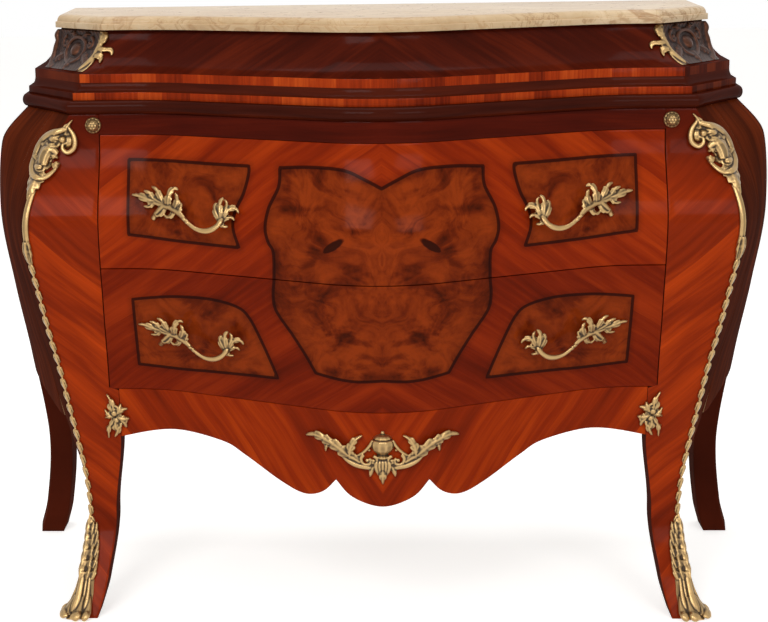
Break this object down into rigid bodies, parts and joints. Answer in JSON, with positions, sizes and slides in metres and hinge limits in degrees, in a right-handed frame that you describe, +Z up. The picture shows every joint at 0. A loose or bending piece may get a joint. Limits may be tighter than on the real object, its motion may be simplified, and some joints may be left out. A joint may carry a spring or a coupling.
{
  "type": "bombe chest of drawers",
  "caption": "Bombe chest of two sliding drawers with serpentine front, swelling sides, cabriole legs, moulded cornice, marble top and cast brass mounts.",
  "frame": {"origin": "on the floor under the centre of the overall box", "axes": "+X along the chest's width, +Y towards its flat back (the drawers open along -Y), +Z up"},
  "size_m": [1.256, 0.573, 0.88],
  "materials": {
    "marble": "polished cream marble",
    "bright_veneer": "high gloss lacquer over diagonal veneer and burl",
    "stile_veneer": "high gloss lacquer over diagonal veneer",
    "moulding_veneer": "high gloss lacquer over dark veneer",
    "side_veneer": "high gloss lacquer over dark veneer",
    "plain_board": "plain boards, waxed",
    "drawer_lining": "planed hardwood, waxed",
    "brass": "cast and chased, aged",
    "steel": "plain"
  },
  "bodies": {
    "carcass": {"apron_centre_mount": "brass", "apron_corner_mount_left": "brass", "apron_corner_mount_right": "brass", "back_panel": "plain_board", "bottom_board": "plain_board", "corner_band_left": "brass", "corner_band_right": "brass", "cornice_back": "plain_board", "cornice_front": "moulding_veneer", "cornice_left": "moulding_veneer", "cornice_right": "moulding_veneer", "frieze_front": "moulding_veneer", "frieze_left": "moulding_veneer", "frieze_mount_left": "brass", "frieze_mount_right": "brass", "frieze_right": "moulding_veneer", "front_apron": "bright_veneer", "front_post_left": "stile_veneer", "front_post_right": "stile_veneer", "lower_runner_left": "plain_board", "lower_runner_right": "plain_board", "marble_top": "marble", "mid_board": "plain_board", "paw_sabot_left": "brass", "paw_sabot_right": "brass", "rear_post_left": "side_veneer", "rear_post_right": "side_veneer", "rosette_left": "brass", "rosette_right": "brass", "shoulder_mount_left": "brass", "shoulder_mount_right": "brass", "side_panel_left": "side_veneer", "side_panel_right": "side_veneer", "top_board": "plain_board", "top_rail": "stile_veneer", "torus_front": "moulding_veneer", "torus_left": "moulding_veneer", "torus_right": "moulding_veneer", "upper_runner_left": "plain_board", "upper_runner_right": "plain_board"},
    "upper_drawer": {"upper_drawer_back": "drawer_lining", "upper_drawer_bottom": "drawer_lining", "upper_drawer_front": "bright_veneer", "upper_drawer_side_left": "drawer_lining", "upper_drawer_side_right": "drawer_lining", "upper_handle_left": "brass", "upper_handle_right": "brass", "upper_handle_screws": "steel"},
    "lower_drawer": {"lower_drawer_back": "drawer_lining", "lower_drawer_bottom": "drawer_lining", "lower_drawer_front": "bright_veneer", "lower_drawer_side_left": "drawer_lining", "lower_drawer_side_right": "drawer_lining", "lower_handle_left": "brass", "lower_handle_right": "brass", "lower_handle_screws": "steel"}
  },
  "joints": [
    {"name": "upper_drawer_slide", "type": "slide", "parent": "carcass", "child": "upper_drawer", "axis": [0, -1, 0], "range_m": [0, 0.26]},
    {"name": "lower_drawer_slide", "type": "slide", "parent": "carcass", "child": "lower_drawer", "axis": [0, -1, 0], "range_m": [0, 0.26]}
  ]
}
